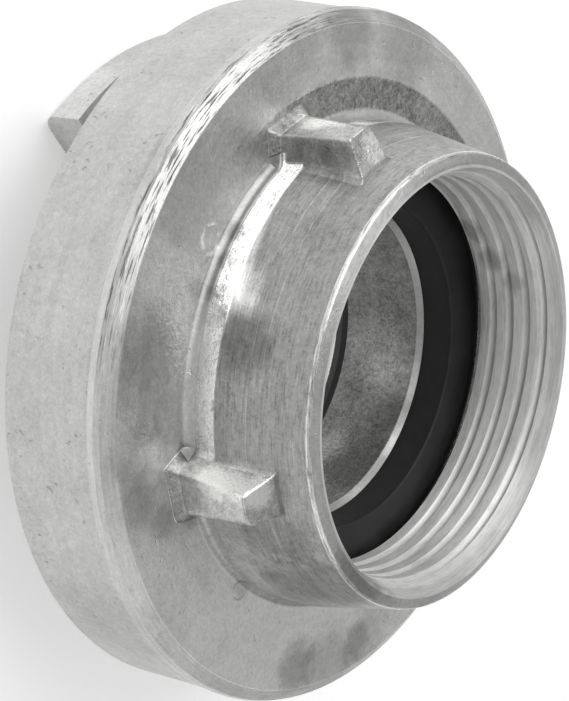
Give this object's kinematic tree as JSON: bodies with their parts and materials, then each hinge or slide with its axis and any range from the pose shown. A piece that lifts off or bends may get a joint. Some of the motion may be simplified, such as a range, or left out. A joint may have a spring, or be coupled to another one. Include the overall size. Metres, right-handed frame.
{
  "type": "quarter turn fire hose coupling",
  "caption": "Round cast quarter turn hose coupling: a broad head with hooked claws and a rubber face seal, and a tapered hub with spanner lugs and an internal pipe thread.",
  "frame": {"origin": "on the water axis, at the level of the claw tips, which the part stands on", "axes": "+Z along the water axis from the claws to the threaded mouth, +X through the middle of one claw"},
  "size_m": [0.08, 0.08, 0.0395],
  "materials": {
    "cast_metal": "rough cast on the rim, the shoulder's inner ring and the lugs, bright turned on the edge, the hub and the mouth",
    "seal_rubber": "smooth black",
    "gasket_rubber": "matt black"
  },
  "bodies": {
    "root": {"coupling_body": "cast_metal", "face_seal": "seal_rubber", "thread_gasket": "gasket_rubber"}
  },
  "joints": []
}
